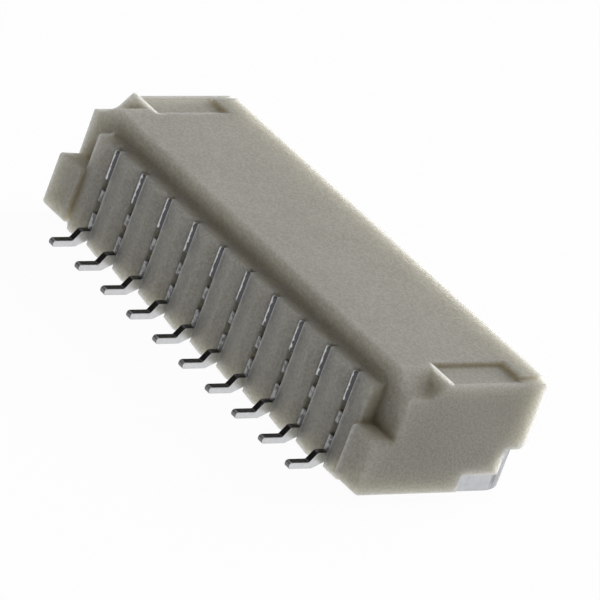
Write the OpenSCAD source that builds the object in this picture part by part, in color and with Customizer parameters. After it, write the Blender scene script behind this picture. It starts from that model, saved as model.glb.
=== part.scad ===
// Side-entry surface-mount pin header: one row of contacts in a shrouded housing.
// Millimetres. +X runs along the row, +Y points to the mating front, +Z is up from the board.
// The origin is on the board, under the middle of the header.

/* [Row] */
// Number of contacts in the row
positions = 10; // [4:1:20]
// Distance from one contact to the next
pitch = 1; // [0.8:0.05:1.5]
// From the middle of the last contact to the end of the housing
end_span = 1.5; // [1.45:0.05:2]

/* [Housing] */
// From the back of the ears to the mating front
housing_depth = 4.2; // [4:0.05:5]
// Top of the housing above the board
housing_top = 2.9; // [2.8:0.05:3.4]
// Gap between the board and the underside of the contact block
block_clear = 0.05; // [0.02:0.01:0.12]
// Gap between the board and the underside of each end
end_clear = 0.18; // [0.14:0.01:0.3]
// Contact block's back face, in front of the ears' back face
block_setback = 0.18; // [0.1:0.02:0.3]
// Upper wall's back face, in front of the ears' back face
wall_setback = 0.54; // [0.45:0.01:0.6]
// Depth of the step from the top face down to the contact block
ledge_drop = 0.53; // [0.4:0.01:0.6]
// Radius of the cove between the contact block and the upper wall
cove_r = 0.12; // [0.06:0.01:0.16]
// Rounding of the contact block's upper back edge
ledge_r = 0.12; // [0.06:0.01:0.14]
// Height of the ears' tops above the board
ear_top = 1.48; // [1.2:0.02:1.6]
// Width of each ear along the row
ear_w = 0.85; // [0.6:0.05:0.9]
// Rounding of the ears' lower back edge
ear_r = 0.1; // [0.04:0.01:0.15]
// Height of the low rib between two contact slots
rib_h = 0.09; // [0.04:0.01:0.1]
// Crest of the rib, off the middle between two slots
rib_shift = 0.08; // [0:0.02:0.2]

/* [Housing ends] */
// Width of the corner notch at the top face
notch_w = 0.7; // [0.6:0.02:0.9]
// Front edge of the corner notch at the top face, from the ears' back face
notch_d = 1.45; // [1.3:0.05:1.5]
// Depth of the notch's floor below the top face
notch_drop = 0.4; // [0.3:0.01:0.5]
// How far the notch's front wall runs in towards its floor
notch_slant = 0.32; // [0.1:0.02:0.4]
// How far the notch's side wall leans out towards its floor
notch_lean = 0.38; // [0.2:0.01:0.42]
// Radius of the cove between the notch's walls and its floor
notch_r = 0.3; // [0.1:0.02:0.32]
// Width of the bevel above the notch's side wall
bevel_w = 0.15; // [0.06:0.01:0.2]
// Height of the bevel above the notch's side wall
bevel_h = 0.1; // [0.04:0.01:0.14]
// Width of the marking pocket in the top of each end
pocket_w = 0.85; // [0.6:0.05:0.95]
// Back edge of the pocket, from the ears' back face
pocket_start = 1.54; // [1.52:0.02:1.8]
// Length of the pocket
pocket_l = 1.98; // [1.6:0.02:2.1]
// Depth of the pocket below the top face
pocket_deep = 0.12; // [0.08:0.01:0.2]
// Depth of the end wall's rim below the top face
rim_drop = 0.075; // [0.04:0.005:0.1]
// Thickness of the rim outside the pocket
rim_t = 0.12; // [0.08:0.02:0.2]
// Width of the rim step at the front corners
rim_step = 0.24; // [0.18:0.02:0.4]

/* [Plug cavity] */
// Wall above the cavity
roof_t = 0.5; // [0.4:0.02:0.6]
// Floor of the cavity above the board
cavity_floor = 0.62; // [0.5:0.02:0.7]
// Back of the cavity, from the ears' back face
cavity_start = 1.6; // [1.4:0.05:1.9]
// Wall at each end of the cavity
end_wall = 1; // [0.95:0.01:1.1]
// Depth of the key groove in each end wall
key_deep = 0.48; // [0.3:0.02:0.55]
// Height of the key groove
key_h = 0.7; // [0.5:0.05:0.75]
// Middle of the key groove above the pins
key_rise = 0.05; // [0.04:0.01:0.1]
// Back of the key groove, from the ears' back face
key_start = 2.1; // [1.8:0.05:2.4]
// Lead-in chamfer round the mouth of the cavity
lead_in = 0.12; // [0.06:0.02:0.16]

/* [Contacts] */
// Thickness of the contact sheet
contact_t = 0.16; // [0.12:0.01:0.2]
// Gap on each side of a contact in its slot
slot_gap = 0.02; // [0.01:0.005:0.03]
// Length of each slot that is open through the top of the contact block
slot_open = 0.16; // [0.06:0.02:0.22]
// How far the solder feet reach out behind the ears
lead_reach = 0.72; // [0.6:0.02:0.9]
// Height of the solder foot
foot_h = 0.16; // [0.12:0.01:0.2]
// Foot's upper bend, behind the ears' back face
heel_reach = 0.2; // [0.16:0.02:0.3]
// Leg's upper bend, behind the ears' back face
knee_reach = 0.04; // [0.02:0.01:0.08]
// Foot's lower bend, behind the ears' back face
toe_reach = 0.08; // [0.04:0.01:0.12]
// Top of the tail where it leaves its slot
exit_top = 0.39; // [0.34:0.01:0.44]
// Underside of the tail where it leaves its slot
exit_low = 0.14; // [0.12:0.01:0.18]
// Back edge of a contact in its slot, in front of the contact block's back face
edge_setback = 0.02; // [0.01:0.01:0.06]
// Top of the shoulder above the tail
shoulder_top = 0.78; // [0.7:0.01:0.8]
// Depth of the two recesses in the back edge
recess_d = 0.22; // [0.14:0.02:0.26]
// Height of the upper recess
recess_h = 0.24; // [0.18:0.02:0.26]
// Height of the tooth between the recesses
tooth_h = 0.3; // [0.2:0.02:0.32]
// Back edge of the tooth, in front of the rest of the back edge
tooth_setback = 0.02; // [0.01:0.01:0.06]
// Length of the upper back edge, where the contact is pressed in
press_l = 0.75; // [0.6:0.01:0.77]
// Top of a contact below the top of the contact block
press_drop = 0.04; // [0.03:0.01:0.08]
// How far the contact's top edge slopes down from its back edge to its upright
top_slope = 0.2; // [0.1:0.02:0.3]
// Width of the contact's upright inside its slot
upright_w = 0.2; // [0.16:0.02:0.26]
// Height of the mating pin
pin_h = 0.3; // [0.2:0.02:0.4]
// Tip of the mating pin, behind the mating front
pin_recess = 0.7; // [0.5:0.05:1]
// Length of the taper at the pin's tip
pin_taper = 0.25; // [0.15:0.01:0.4]
// Height of the pin's blunt tip
pin_blunt = 0.12; // [0.08:0.01:0.16]

/* [Solder tabs] */
// Thickness of the tab sheet
tab_t = 0.2; // [0.15:0.01:0.24]
// Outer face of the tab, inside the end of the housing
tab_inset = 0.36; // [0.34:0.01:0.4]
// Height of the tab
tab_h = 1.05; // [0.9:0.01:1.06]
// Back end of the tab's side wing, from the ears' back face
wing_start = 2.9; // [2.86:0.02:3.1]
// Start of the tab's bend, from the ears' back face
bend_start = 3.87; // [3.76:0.01:3.9]
// Outer radius of the tab's bend
bend_r = 0.8; // [0.7:0.01:0.9]
// Angle through which the tab bends inwards
bend_angle = 45; // [38:1:50]
// Clearance round the tab in its slot
tab_gap = 0.02; // [0.01:0.005:0.03]
// Back end of the window under the end wall, from the ears' back face
window_start = 2.77; // [2.5:0.05:2.85]
// Top of the window above the board
window_top = 0.61; // [0.5:0.01:0.7]
// Back of the cut-out in front of the end wall, from the ears' back face
corner_start = 3.73; // [3.6:0.01:3.8]
// Top of that cut-out above the board
corner_top = 1.22; // [1.2:0.01:1.3]
// Rounding of the end wall's lower front corner, above that cut-out
lip_r = 0.18; // [0.08:0.01:0.24]

/* [Hidden] */
$fn = 48;
// How far a cutter runs past the surface it opens
over = 0.1;
// Steps of an arc in an outline
arc_steps = 6;
nylon = [0.62, 0.6, 0.56];
tin = [0.72, 0.73, 0.74];

// Driving dimensions carried through to places in the frame of the ears' back face
half_l = (positions - 1) * pitch / 2 + end_span;
front_reach = bend_start + bend_r * sin(bend_angle);
ears_y = (lead_reach - front_reach) / 2;
block_half = half_l - ear_w;
ledge_z = housing_top - ledge_drop;
cavity_top = housing_top - roof_t;
cavity_half = half_l - end_wall;
pin_z = (cavity_floor + cavity_top) / 2;
key_z = pin_z + key_rise;
slot_w = contact_t + 2 * slot_gap;

// Contact: places of the back edge's steps and radii of its corners
edge_y = block_setback + edge_setback;
tooth_y = edge_y + tooth_setback;
upright_y = edge_y + recess_d;
neck_y = upright_y + upright_w;
press_top = ledge_z - press_drop;
press_low = press_top - press_l;
tooth_top = press_low - recess_h;
tooth_low = tooth_top - tooth_h;
punch_r = contact_t / 5;
bend_outer_r = foot_h / 2;
tip_r = foot_h * 0.45;

// Tab: its faces in plan
tab_outer = half_l - tab_inset;
tab_inner = tab_outer - tab_t;
bend_x = tab_outer - bend_r;
slot_x = bend_x + (bend_r - tab_t) * cos(bend_angle) - tab_gap;

function unit(v) = v / norm(v);

// Points of the arc that rounds corner b, between its neighbours a and c
function corner(a, b, c, r) =
    let (u = unit(a - b), v = unit(c - b), h = acos(u * v) / 2)
    let (m = b + unit(u + v) * r / sin(h), p = b + u * r / tan(h) - m, q = b + v * r / tan(h) - m)
    let (start = atan2(p[1], p[0]), turn = atan2(p[0] * q[1] - p[1] * q[0], p * q))
    [for (i = [0:arc_steps]) let (t = start + turn * i / arc_steps) m + r * [cos(t), sin(t)]];

// Outline through corners [u, v, radius], where a radius of 0 leaves the corner sharp
function rounded(k) =
    let (n = len(k), p = [for (c = k) [c[0], c[1]]])
    [for (i = [0:n - 1])
        let (before = p[(i + n - 1) % n], after = p[(i + 1) % n], r = k[i][2])
        each r == 0 ? [p[i]] : corner(before, p[i], after, r)];

// Sweeps a [y, z] outline along the row, centred on x = 0
module along_row(length) {
    rotate([90, 0, 90])
        linear_extrude(length, center = true)
            children();
}

// Box between two opposite corners
module box(low, high) {
    translate(low)
        cube(high - low);
}

// Draws its children at the right end and mirrored at the left end
module both_ends() {
    children();
    mirror([1, 0, 0])
        children();
}

// Solid forms of the moulding, before anything is cut out of it
module housing_form() {
    box([-half_l, wall_setback, end_clear], [half_l, housing_depth, housing_top]);
    contact_block();
    both_ends()
        translate([half_l - ear_w / 2, 0, 0])
            along_row(ear_w)
                polygon(rounded([
                    [0, end_clear, ear_r],
                    [cavity_start, end_clear, 0],
                    [cavity_start, ear_top, 0],
                    [0, ear_top, 0]
                ]));
}

// Block that holds the contacts, with a low rib before each slot and a cove under the upper wall
module contact_block() {
    rib_half = (pitch - slot_w) / 2;
    ribs = [for (i = [1:positions])
        let (x = contact_x(i) - pitch / 2)
        each [[x - rib_half, block_setback], [x + rib_shift, block_setback - rib_h], [x + rib_half, block_setback]]];
    intersection() {
        along_row(2 * block_half)
            polygon(rounded([
                [block_setback - rib_h, block_clear, 0],
                [housing_depth, block_clear, 0],
                [housing_depth, ledge_z + 2 * cove_r, 0],
                [wall_setback, ledge_z + 2 * cove_r, 0],
                [wall_setback, ledge_z, cove_r],
                [block_setback - rib_h, ledge_z, ledge_r]
            ]));
        linear_extrude(housing_top)
            polygon(concat(
                [[-half_l, housing_depth], [-half_l, block_setback]],
                ribs,
                [[half_l, block_setback], [half_l, housing_depth]]
            ));
    }
}

// Room for one contact: an open slot from behind, then a close hole for the pin through the back wall
module contact_slot() {
    roof_z = press_top + slot_gap - top_slope * slot_open / (neck_y + slot_gap - edge_y);
    along_row(slot_w)
        polygon([
            [-over, block_clear - over],
            [neck_y + slot_gap, block_clear - over],
            [neck_y + slot_gap, press_top - top_slope + slot_gap],
            [edge_y + slot_open, roof_z],
            [edge_y + slot_open, ledge_z + over],
            [-over, ledge_z + over]
        ]);
    translate([0, (neck_y + cavity_start + over) / 2, pin_z])
        cube([contact_t, cavity_start + over - neck_y, pin_h], center = true);
}

// Plug cavity with a groove for the plug's key in each end wall and a lead-in round its mouth
module cavity() {
    mouth = housing_depth + over;
    box([-cavity_half, cavity_start, cavity_floor], [cavity_half, mouth, cavity_top]);
    both_ends()
        box([0, key_start, key_z - key_h / 2], [cavity_half + key_deep, mouth, key_z + key_h / 2]);
    along_row(2 * cavity_half)
        polygon([
            [housing_depth - lead_in, cavity_floor],
            [housing_depth, cavity_floor - lead_in],
            [mouth, cavity_floor - lead_in],
            [mouth, cavity_top + lead_in],
            [housing_depth, cavity_top + lead_in],
            [housing_depth - lead_in, cavity_top]
        ]);
}

// Corner notch of the right end: two slanted walls that run down to its floor in a cove
module corner_notch() {
    notch_z = housing_top - notch_drop;
    side_x = half_l - notch_w;
    intersection() {
        along_row(2 * half_l + 2 * notch_w)
            polygon(rounded([
                [-over, notch_z, 0],
                [notch_d - notch_slant, notch_z, notch_r],
                [notch_d, housing_top, 0],
                [notch_d, housing_top + over, 0],
                [-over, housing_top + over, 0]
            ]));
        translate([0, notch_d + over, 0])
            rotate([90, 0, 0])
                linear_extrude(notch_d + 2 * over)
                    polygon(rounded([
                        [side_x + bevel_w + notch_lean, notch_z, notch_r],
                        [half_l + notch_w, notch_z, 0],
                        [half_l + notch_w, housing_top + over, 0],
                        [side_x, housing_top + over, 0],
                        [side_x, housing_top, 0],
                        [side_x + bevel_w, housing_top - bevel_h, 0]
                    ]));
    }
}

// Marking pocket of the right end, left bare, and the lower rim outside it
module end_pocket() {
    pocket_end = pocket_start + pocket_l;
    high = housing_top + over;
    rim_z = housing_top - rim_drop;
    box([half_l - pocket_w, pocket_start, housing_top - pocket_deep], [half_l - rim_t, pocket_end, high]);
    box([half_l - rim_step, pocket_start, rim_z], [half_l + over, housing_depth + over, high]);
}

// Openings round the right solder tab: its slot, the window beside it and the cut-out in front of it
module tab_room() {
    past = housing_depth + over;
    skin = tab_inset + 2 * over;
    box([tab_inner - tab_gap, wing_start - tab_gap, -over], [tab_outer, past, tab_h + tab_gap]);
    box([slot_x, bend_start, -over], [tab_outer, past, tab_h + tab_gap]);
    box([tab_outer - over, window_start, -over], [half_l + over, past, window_top]);
    translate([tab_outer - over + skin / 2, 0, 0])
        along_row(skin)
            polygon(rounded([
                [corner_start, -over, 0],
                [past, -over, 0],
                [past, corner_top + 2 * lip_r, 0],
                [housing_depth, corner_top + 2 * lip_r, 0],
                [housing_depth, corner_top, lip_r],
                [corner_start, corner_top, 0]
            ]));
}

module housing() {
    color(nylon)
        translate([0, ears_y, 0])
            difference() {
                housing_form();
                cavity();
                for (i = [1:positions])
                    translate([contact_x(i), 0, 0])
                        contact_slot();
                both_ends() {
                    corner_notch();
                    end_pocket();
                    tab_room();
                }
            }
}

function contact_x(i) = (i - (positions + 1) / 2) * pitch;

// One stamped contact: gull-wing tail, stepped back edge in the slot, and the mating pin
module contact(i) {
    pin_low = pin_z - pin_h / 2;
    pin_high = pin_z + pin_h / 2;
    pin_tip = housing_depth - pin_recess;
    color(tin)
        translate([contact_x(i), ears_y, 0])
            along_row(contact_t)
                polygon(rounded([
                    [-lead_reach, 0, tip_r],
                    [-lead_reach, foot_h, tip_r],
                    [-heel_reach, foot_h, punch_r],
                    [-knee_reach, exit_top, bend_outer_r],
                    [edge_y, exit_top, punch_r],
                    [edge_y, shoulder_top, punch_r],
                    [upright_y, shoulder_top, punch_r],
                    [upright_y, tooth_low, punch_r],
                    [tooth_y, tooth_low, punch_r],
                    [tooth_y, tooth_top, punch_r],
                    [upright_y, tooth_top, punch_r],
                    [upright_y, press_low, punch_r],
                    [edge_y, press_low, punch_r],
                    [edge_y, press_top, punch_r],
                    [neck_y, press_top - top_slope, 0],
                    [neck_y, pin_high, 0],
                    [pin_tip - pin_taper, pin_high, 0],
                    [pin_tip, pin_z + pin_blunt / 2, 0],
                    [pin_tip, pin_z - pin_blunt / 2, 0],
                    [pin_tip - pin_taper, pin_low, 0],
                    [neck_y, pin_low, 0],
                    [neck_y, exit_low, bend_outer_r],
                    [edge_y, exit_low, bend_outer_r],
                    [-toe_reach, 0, bend_outer_r]
                ]));
}

// Right solder tab: a flat side wing whose front end bends inwards round the housing's corner
module right_tab() {
    color(tin)
        translate([0, ears_y, 0])
            linear_extrude(tab_h) {
                translate([tab_inner, wing_start])
                    square([tab_t, bend_start - wing_start]);
                translate([bend_x, bend_start])
                    intersection() {
                        difference() {
                            circle(bend_r);
                            circle(bend_r - tab_t);
                        }
                        polygon([
                            [0, 0],
                            [2 * bend_r, 0],
                            2 * bend_r * [cos(bend_angle), sin(bend_angle)]
                        ]);
                    }
            }
}

module left_tab() {
    mirror([1, 0, 0])
        right_tab();
}

housing();
for (i = [1:positions])
    contact(i);
left_tab();
right_tab();
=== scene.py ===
import math

import bmesh
import bpy
from mathutils import Matrix, Vector
from mathutils.geometry import intersect_point_line


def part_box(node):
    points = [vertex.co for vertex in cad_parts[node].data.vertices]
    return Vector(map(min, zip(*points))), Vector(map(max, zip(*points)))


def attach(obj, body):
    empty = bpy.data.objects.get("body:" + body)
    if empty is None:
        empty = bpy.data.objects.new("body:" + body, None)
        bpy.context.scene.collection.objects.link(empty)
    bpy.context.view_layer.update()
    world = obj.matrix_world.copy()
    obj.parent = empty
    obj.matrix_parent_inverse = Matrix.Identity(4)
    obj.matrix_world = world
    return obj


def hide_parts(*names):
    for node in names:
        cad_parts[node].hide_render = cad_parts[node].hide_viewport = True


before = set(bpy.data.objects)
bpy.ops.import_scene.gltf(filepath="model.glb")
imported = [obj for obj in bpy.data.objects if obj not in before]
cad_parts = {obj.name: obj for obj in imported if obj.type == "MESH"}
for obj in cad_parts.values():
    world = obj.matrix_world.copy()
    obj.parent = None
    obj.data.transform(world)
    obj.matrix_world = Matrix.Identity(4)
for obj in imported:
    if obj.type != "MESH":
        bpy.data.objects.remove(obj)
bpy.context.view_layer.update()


# Housing: one moulding in natural, unfilled nylon, with a fine spark-eroded mould finish all over.
# Its edges come out of the mould slightly rounded, and the nylon lets some light into itself.
# Its hollows and concave corners carry painted shade, a darker brown in the colour.

MM = 0.001
housing_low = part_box("housing")[0]
nylon_dark, nylon_light = (0.285, 0.274, 0.243, 1), (0.43, 0.415, 0.37, 1)
# Painted shade: the darker brown that the housing's hollows and concave corners are painted.
nylon_painted_shade = (0.3, 0.255, 0.17, 1)


class Wire:
    """A shader socket that can be written in sums, or the start of a material's nodes."""

    def __init__(self, tree, socket=None):
        self.tree = tree
        self.socket = socket

    def node(self, kind, settings=None, inputs=None, out=0):
        made = self.tree.nodes.new("ShaderNode" + kind)
        for name, value in (settings or {}).items():
            setattr(made, name, value)
        for name, value in (inputs or {}).items():
            if isinstance(value, Wire):
                self.tree.links.new(value.socket, made.inputs[name])
            else:
                made.inputs[name].default_value = value
        return Wire(self.tree, made.outputs[out])

    def math(self, operation, a, b):
        return self.node("Math", {"operation": operation}, {0: a, 1: b})

    def __add__(self, other):
        return self.math("ADD", self, other)

    __radd__ = __add__

    def __sub__(self, other):
        return self.math("SUBTRACT", self, other)

    def __rsub__(self, other):
        return self.math("SUBTRACT", other, self)

    def __mul__(self, other):
        return self.math("MULTIPLY", self, other)

    __rmul__ = __mul__

    def mark(self, name):
        """The value that the mesh itself carries under a name."""
        return self.node("Attribute", {"attribute_name": name}, out="Fac")

    def noise(self, scale, detail, along=None):
        """Noise on the piece's own coordinates, with so many lumps to the millimetre."""
        place = self.node("TexCoord", out="Object")
        if along:
            place = self.node("Mapping", inputs={"Vector": place, "Scale": along})
        lumps = {"Vector": place, "Scale": scale / MM, "Detail": detail}
        return self.node("TexNoise", inputs=lumps)

    def rising(self, value, low, high):
        """Nought up to low, one from high on, and a smooth rise between them."""
        limits = {"Value": value, "From Min": low, "From Max": high}
        return self.node("MapRange", {"interpolation_type": "SMOOTHSTEP"}, limits)

    def blend(self, factor, low, high):
        """Colour between low and high."""
        return self.node("Mix", {"data_type": "RGBA"}, {0: factor, 6: low, 7: high}, out=2)

    def relief(self, height, strength, depth, edge_r, samples):
        """The normal of a surface with so deep a relief, and edges that look rounded to edge_r."""
        edge = self.node("Bevel", {"samples": samples}, {"Radius": edge_r})
        raised = {"Strength": strength, "Distance": depth, "Height": height, "Normal": edge}
        return self.node("Bump", inputs=raised)


def new_finish(name, varying, **constant):
    """A material whose shader takes constants as they are and wires from varying(start)."""
    material = bpy.data.materials.new(name)
    material.use_nodes = True
    shader = material.node_tree.nodes["Principled BSDF"]
    for socket, value in constant.items():
        shader.inputs[socket.replace("_", " ")].default_value = value
    for socket, wire in varying(Wire(material.node_tree)).items():
        material.node_tree.links.new(wire.socket, shader.inputs[socket])
    return material


def new_object(name, data):
    """An object in the scene that holds a mesh, a lamp or a camera."""
    made = bpy.data.objects.new(name, data)
    bpy.context.scene.collection.objects.link(made)
    return made


def finished_mesh(blank):
    """The plain mesh that a blank's modifiers make. The blank itself goes."""
    made = blank.evaluated_get(bpy.context.evaluated_depsgraph_get())
    mesh = bpy.data.meshes.new_from_object(made)
    bpy.data.objects.remove(blank)
    return mesh


SAME_POINT = 0.0005 * MM
LEVEL = math.radians(1)
SHARP = math.radians(28)
STRAIGHT_ON = math.radians(150)
LEAST_BEND = 0.001
ROOM_USED = 0.45


def turn_at(corner, edge, other):
    """The angle between two edges that meet at a corner, where half a turn is straight on."""
    along = edge.other_vert(corner).co - corner.co
    away = other.other_vert(corner).co - corner.co
    return along.angle(away)


def smooth_runs(edges):
    """The edges in groups, each of which follows one straight or gently curved line."""
    left = set(edges)
    while left:
        run, ahead = [], [left.pop()]
        while ahead:
            edge = ahead.pop()
            run.append(edge)
            next_on = {
                other for corner in edge.verts for other in corner.link_edges
                if other in left and turn_at(corner, edge, other) > STRAIGHT_ON}
            left -= next_on
            ahead += next_on
        yield run


def clear_width(edge, run):
    """How far an edge may be rounded before it meets an edge of its faces outside its run."""
    bends = [
        math.tan((math.pi - turn_at(corner, edge, other)) / 2)
        for corner in edge.verts for other in corner.link_edges
        if other in run and other is not edge]
    width = 2 * edge.calc_length() / max(sum(bends), LEAST_BEND)
    ends = [vert.co for vert in edge.verts]
    for other in {other for face in edge.link_faces for other in face.edges if other not in run}:
        far = [vert.co for vert in other.verts]
        joint = [vert for vert in other.verts if vert in edge.verts]
        if joint:
            away = other.other_vert(joint[0]).co - joint[0].co
            along = edge.other_vert(joint[0]).co - joint[0].co
            if turn_at(joint[0], edge, other) < STRAIGHT_ON:
                width = min(width, away.cross(along).length / along.length)
            continue
        for point, line in [(q, ends) for q in far] + [(q, far) for q in ends]:
            share = max(0, min(1, intersect_point_line(point, *line)[1]))
            width = min(width, (point - line[0].lerp(line[1], share)).length)
    return width


def rounded_copy(node, edge_r, share=lambda place: 1.0):
    """The node's solid with its outer edges rounded to edge_r, or less where there is no room.

    share(middle of an edge) says how much of edge_r that edge may have.
    """
    work = bmesh.new()
    work.from_mesh(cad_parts[node].data)
    bmesh.ops.remove_doubles(work, verts=work.verts, dist=SAME_POINT)
    bmesh.ops.dissolve_limit(work, angle_limit=LEVEL, verts=work.verts, edges=work.edges)
    weight = work.edges.layers.float.new("bevel_weight_edge")
    sharp = [edge for edge in work.edges if edge.is_convex and edge.calc_face_angle() > SHARP]
    for run in smooth_runs(sharp):
        room = ROOM_USED * min(clear_width(edge, run) for edge in run)
        shares = [share((edge.verts[0].co + edge.verts[1].co) / 2) for edge in run]
        for edge in run:
            edge[weight] = min(room / edge_r, *shares, 1.0)
    mesh = bpy.data.meshes.new(node)
    work.to_mesh(mesh)
    work.free()
    blank = new_object(node + "_blank", mesh)
    roll = blank.modifiers.new("edges", "BEVEL")
    roll.limit_method = "WEIGHT"
    roll.width = edge_r
    roll.segments = 3
    roll.use_clamp_overlap = False
    roll.loop_slide = False
    flat = blank.modifiers.new("faces", "TRIANGULATE")
    flat.min_vertices = 5
    done = finished_mesh(blank)
    low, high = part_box(node)
    for vert in done.vertices:
        vert.co = [min(max(c, least), most) for c, least, most in zip(vert.co, low, high)]
    return done


def add_piece(name, mesh, material, slot, *nodes):
    """Puts a finished mesh in the scene in place of the solids it stands for."""
    mesh.materials.clear()
    mesh.materials.append(material)
    piece = new_object(name, mesh)
    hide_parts(*nodes)
    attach(piece, "root")


def nylon_look(start):
    grain = start.rising(start.noise(scale=17, detail=3), low=0.3, high=0.7)
    cloud = start.noise(scale=0.9, detail=2)
    nearby = {"samples": 8, "only_local": True}
    hollow_shade = 1 - start.node("AmbientOcclusion", nearby, {"Distance": 0.6 * MM}, out="AO")
    tone = start.blend(0.4 * cloud + 0.6 * grain, nylon_dark, nylon_light)
    # Painted shade: where ambient occlusion finds hollows and concave corners, the colour goes
    # towards a darker brown; the side walls of the contact slots are left out.
    tone = start.blend(hollow_shade * (1 - start.mark("slot")), tone, nylon_painted_shade)
    normal = start.relief(grain, strength=0.2, depth=0.01 * MM, edge_r=0.17 * MM, samples=6)
    return {"Base Color": tone, "Roughness": 0.5 + 0.2 * grain, "Normal": normal}


def edge_share(place):
    """How much of the full rounding an edge of the moulding has: less on its small steps."""
    out, ahead, up = abs(place.x) / MM, (place.y - housing_low.y) / MM, place.z / MM
    on_block = out < 5.2 and ahead < 0.7 and up < 2.6
    if on_block:
        at_top, on_rib = up > 2.1, out < 5.12
        return 0.0 if at_top else 0.2 if on_rib else 0.6
    in_pocket = 5 < out < 5.95 and ahead > 1.5 and up > 2.7
    by_tab = out > 5.2 and ahead > 2.6 and up < 1.1
    in_cavity = out < 5.6 and ahead > 1.5 and 0.3 < up < 2.7
    by_rim = out > 5.95 and ahead > 4.15 and 1.4 < up < 2.8
    return 0.25 if in_pocket or by_tab or in_cavity or by_rim else 1.0


nylon = new_finish(
    "natural_nylon", nylon_look, Subsurface_Weight=1.0, Subsurface_Scale=1.8 * MM,
    Subsurface_Radius=(1, 0.98, 0.88), IOR=1.53, Specular_IOR_Level=0.1)
housing_mesh = rounded_copy("housing", 0.16 * MM, edge_share)
# Faces of the contact slots' side walls, which the housing's painted shade leaves out.
slot_wall = housing_mesh.attributes.new("slot", "FLOAT", "FACE")
for face in housing_mesh.polygons:
    ahead = (face.center.y - housing_low.y) / MM
    sideways = abs(face.normal.x) > 0.9
    in_row = abs(face.center.x) < 4.7 * MM and 0.15 < ahead < 0.7
    slot_wall.data[face.index].value = float(sideways and in_row)
add_piece("moulded_housing", housing_mesh, nylon, "housing", "housing")


# Contacts: a row of blades punched from thin copper alloy and tinned, then pushed into the
# housing's slots from behind. All are alike, one pitch apart, so one blade is repeated.

sheet_dark, sheet_light = (0.5, 0.505, 0.51, 1), (0.74, 0.75, 0.76, 1)
# The +x side of the bright cut edge is near black: partly the rougher fracture, partly painted
# shade of the gap beside the blade.
cut_bright, cut_torn_and_shaded = (0.5, 0.51, 0.52, 1), (0.07, 0.07, 0.075, 1)
# Painted shade: the cut rim that sits in its slot, between the bend and the pressed part.
slot_shade_dark, slot_shade_light = (0.09, 0.09, 0.09, 1), (0.3, 0.305, 0.31, 1)
# Painted reflection: the bend of each leg is near black for the dark that it reflects. The foot's
# rim is grey.
bend_dark_reflection, foot_grey = (0.03, 0.029, 0.028, 1), (0.17, 0.172, 0.175, 1)
foot_top, bend_top, slot_shade_top = (0.14, 0.18), (0.36, 0.42), (1.4, 1.5)


def punched_look(start):
    """Tinned sheet whose cut rim, from the board up, is a grey foot, a bend painted near black as
    painted reflection, a stretch painted dark as the painted shade of its slot, and then bright;
    the +x side of the bright part is near black, partly fracture and partly painted shade.
    """
    speck = start.noise(scale=11, detail=3)
    across = start.mark("across")
    place = start.node("TexCoord", out="Object")
    up = start.node("SeparateXYZ", inputs={0: place}, out="Z") * (1 / MM)
    # Painted shade, in part: the +x side of the bright cut edge, broken up by speckle, goes near
    # black.
    torn_and_shaded = start.rising(across + 1.6 * speck, low=0.35, high=0.6)
    # Mottle of the painted slot shade, a little darker towards the blade's +x side.
    shade_mottle = start.rising(speck - 0.2 * across, low=0.35, high=0.65)
    bright = start.blend(torn_and_shaded, cut_bright, cut_torn_and_shaded)
    slot_shade = start.blend(shade_mottle, slot_shade_dark, slot_shade_light)
    cut = start.blend(start.rising(up, *slot_shade_top), slot_shade, bright)
    # Painted reflection: the bend goes near black.
    cut = start.blend(start.rising(up, *bend_top), bend_dark_reflection, cut)
    cut = start.blend(start.rising(up, *foot_top), foot_grey, cut)
    sheet = start.blend(speck, sheet_dark, sheet_light)
    tone = start.blend(start.mark("rim"), sheet, cut)
    normal = start.relief(speck, strength=0.5, depth=0.012 * MM, edge_r=0.03 * MM, samples=4)
    return {"Base Color": tone, "Roughness": 0.24 + 0.2 * speck, "Normal": normal}


tin = new_finish("tinned_edge", punched_look, Metallic=1.0)
contacts = [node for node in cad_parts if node.startswith("contact_")]
blades = sorted(contacts, key=lambda node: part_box(node)[0][0])
middles = [sum(corner[0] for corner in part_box(node)) / 2 for node in blades]
pitch = (middles[-1] - middles[0]) / (len(blades) - 1)

blade_mesh = rounded_copy(blades[0], 0.015 * MM)
blade_mesh.transform(Matrix.Translation((-middles[0], 0, 0)))
blade_half = max(vert.co.x for vert in blade_mesh.vertices)
across = blade_mesh.attributes.new("across", "FLOAT", "CORNER")
rim = blade_mesh.attributes.new("rim", "FLOAT", "CORNER")
for face in blade_mesh.polygons:
    for corner in face.loop_indices:
        point = blade_mesh.vertices[blade_mesh.loops[corner].vertex_index].co
        across.data[corner].value = point.x / blade_half
        rim.data[corner].value = float(abs(face.normal.x) < 0.9)
blade = new_object("blade", blade_mesh)

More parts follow.
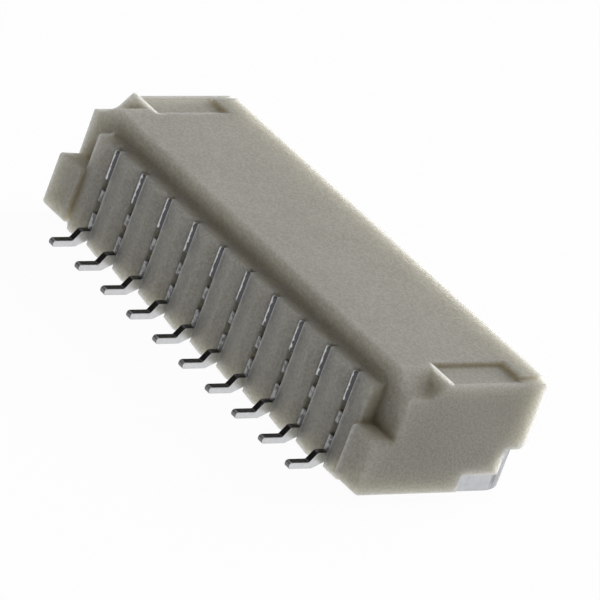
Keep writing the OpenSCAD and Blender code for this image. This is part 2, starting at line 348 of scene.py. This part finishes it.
row_tree = bpy.data.node_groups.new("contact_row", "GeometryNodeTree")
kinds = {
    "Blade": "Object", "Positions": "Int", "Start": "Vector", "Pitch": "Vector",
    "Tin": "Material"}
inputs = {
    name: row_tree.interface.new_socket(
        name, in_out="INPUT", socket_type="NodeSocket" + kind).identifier
    for name, kind in kinds.items()}
row_tree.interface.new_socket("Geometry", in_out="OUTPUT", socket_type="NodeSocketGeometry")
given = row_tree.nodes.new("NodeGroupInput")
line = row_tree.nodes.new("GeometryNodeMeshLine")
shape = row_tree.nodes.new("GeometryNodeObjectInfo")
place = row_tree.nodes.new("GeometryNodeInstanceOnPoints")
realize = row_tree.nodes.new("GeometryNodeRealizeInstances")
paint = row_tree.nodes.new("GeometryNodeSetMaterial")
result = row_tree.nodes.new("NodeGroupOutput")
for source, target in (
        (given.outputs["Blade"], shape.inputs["Object"]),
        (given.outputs["Positions"], line.inputs["Count"]),
        (given.outputs["Start"], line.inputs["Start Location"]),
        (given.outputs["Pitch"], line.inputs["Offset"]),
        (line.outputs["Mesh"], place.inputs["Points"]),
        (shape.outputs["Geometry"], place.inputs["Instance"]),
        (place.outputs["Instances"], realize.inputs["Geometry"]),
        (realize.outputs["Geometry"], paint.inputs["Geometry"]),
        (given.outputs["Tin"], paint.inputs["Material"]),
        (paint.outputs["Geometry"], result.inputs["Geometry"])):
    row_tree.links.new(source, target)

maker = new_object("row_maker", bpy.data.meshes.new("row_maker"))
row = maker.modifiers.new("row", "NODES")
row.node_group = row_tree
row[inputs["Blade"]] = blade
row[inputs["Positions"]] = len(blades)
row[inputs["Start"]] = (middles[0], 0, 0)
row[inputs["Pitch"]] = (pitch, 0, 0)
row[inputs["Tin"]] = tin
row_mesh = finished_mesh(maker)
bpy.data.objects.remove(blade)
add_piece("contact_row", row_mesh, tin, "contact", *blades)


# Solder tabs: two strips of the same tinned sheet, pushed into the lower front corners. Each
# stands on its edge beside the end wall and curls inwards round the corner.

strip_dark, strip_light = (0.42, 0.43, 0.445, 1), (0.62, 0.63, 0.65, 1)
# Dark streaks along the bend of each tab.
strip_streak_dark = (0.12, 0.12, 0.125, 1)


def strip_look(start):
    cloud = start.noise(scale=7, detail=3)
    scratch = start.noise(scale=16, detail=2, along=(1, 1, 0.1))
    streak = start.rising(scratch, low=0.45, high=0.65)
    tone = start.blend(cloud, strip_dark, strip_light)
    tone = start.blend(start.mark("bend") * streak * 0.6, tone, strip_streak_dark)
    height = 0.6 * cloud + 0.4 * scratch
    normal = start.relief(height, strength=0.5, depth=0.012 * MM, edge_r=0.06 * MM, samples=4)
    return {"Base Color": tone, "Roughness": 0.2 + 0.22 * cloud, "Normal": normal}


strip = new_finish("tinned_strip", strip_look, Metallic=1.0)
for side in ("left", "right"):
    tab_mesh = rounded_copy(side + "_tab", 0.02 * MM)
    bend = tab_mesh.attributes.new("bend", "FLOAT", "FACE")
    for face in tab_mesh.polygons:
        upright, turned = abs(face.normal.z) < 0.1, abs(face.normal.x) < 0.99
        bend.data[face.index].value = float(upright and turned)
    add_piece(side + "_solder_tab", tab_mesh, strip, "tab", side + "_tab")


# Stage: a white light table under a soft white tent, with a black card on the camera's side and
# three soft boxes, behind, above and beside the part. The camera stands where the photograph was
# taken, turned so that the row runs down the frame.

white, pale_grey, black = (1, 1, 1, 1), (0.86, 0.86, 0.86, 1), (0.03, 0.03, 0.03, 1)
table_half, table_level = 0.6, -0.002 * MM
card_low, card_high = 0.12, 0.5
tent_side, tent_glow = (0.04, 0.92, 0.38), 0.66


def lead_out(tree, output, surface):
    """Leads the shader that surface(start) makes to the tree's output."""
    tree.links.new(surface(Wire(tree)).socket, tree.nodes[output].inputs["Surface"])


def plain_sheet(name, corners, surface):
    """A flat sheet of the stage with the shader that surface(start) makes."""
    mesh = bpy.data.meshes.new(name)
    mesh.from_pydata(corners, [], [(0, 1, 2, 3)])
    finish = bpy.data.materials.new(name)
    finish.use_nodes = True
    lead_out(finish.node_tree, "Material Output", surface)
    mesh.materials.append(finish)
    sheet = new_object(name, mesh)
    return sheet


def shows_white(start):
    """One for rays that see the stage, straight or in a shiny or clear surface, else nought."""
    path = start.node("LightPath", out="Is Camera Ray")
    for kind in ("Is Glossy Ray", "Is Transmission Ray"):
        path = path.math("MAXIMUM", path, start.node("LightPath", out=kind))
    return path


def lit_table(start):
    matt = start.node("BsdfDiffuse", inputs={"Color": pale_grey})
    lit = start.node("Emission", inputs={"Color": white, "Strength": 1.0})
    lit_share = 0.72 + 0.24 * shows_white(start)
    return start.node("MixShader", inputs={0: lit_share, 1: matt, 2: lit})


def black_felt(start):
    return start.node("BsdfDiffuse", inputs={"Color": black})


def lit_tent(start):
    """White to look at, and brightest on one side in the light that it gives."""
    sides = {0: start.node("TexCoord", out="Generated"), 1: tent_side}
    facing = start.node("VectorMath", {"operation": "DOT_PRODUCT"}, sides, out="Value")
    glow = tent_glow * start.rising(facing, low=0.2, high=0.95)
    light = start.node("Background", inputs={"Color": white, "Strength": glow})
    seen = start.node("Background", inputs={"Color": white, "Strength": 1.0})
    return start.node("MixShader", inputs={0: shows_white(start), 1: light, 2: seen})


def soft_box(name, place, size, power):
    """A round lamp that faces the part."""
    lamp = bpy.data.lights.new(name, "AREA")
    lamp.shape = "DISK"
    lamp.size = size
    lamp.energy = power
    box = new_object(name, lamp)
    box.location = place
    box.rotation_euler = (-Vector(place)).to_track_quat("-Z", "Y").to_euler()


plain_sheet("white_table", [
    (-table_half, -table_half, table_level), (table_half, -table_half, table_level),
    (table_half, table_half, table_level), (-table_half, table_half, table_level)], lit_table)
card = plain_sheet("black_card", [
    (-0.55, -0.2, card_low), (-0.2, -0.5, card_low),
    (-0.2, -0.5, card_high), (-0.55, -0.2, card_high)], black_felt)
card.visible_camera = False

scene = bpy.context.scene
scene.view_settings.view_transform = "Standard"
scene.world = bpy.data.worlds.new("tent")
scene.world.use_nodes = True
lead_out(scene.world.node_tree, "World Output", lit_tent)
soft_box("back_light", place=(-0.04, 0.34, 0.18), size=0.22, power=1.05)
soft_box("top_light", place=(-0.02, -0.04, 0.36), size=0.25, power=0.37)
soft_box("side_light", place=(0.38, -0.1, 0.04), size=0.2, power=0.14)

camera = new_object("camera", bpy.data.cameras.new("camera"))
camera.data.sensor_width = 36
camera.data.lens = 617.9
camera.data.clip_start = 0.01
camera.data.clip_end = 5
right = Vector((0.5593, 0.7625, 0.3253))
up = Vector((-0.5158, 0.0129, 0.8566))
back = Vector((0.6489, -0.6469, 0.4005))
aim, distance = Vector((0.734, -0.1548, 1.739)) * MM, 217 * MM
turn = Matrix((right, up, back)).transposed().to_4x4()
camera.matrix_world = Matrix.Translation(aim + back * distance) @ turn
scene.camera = camera
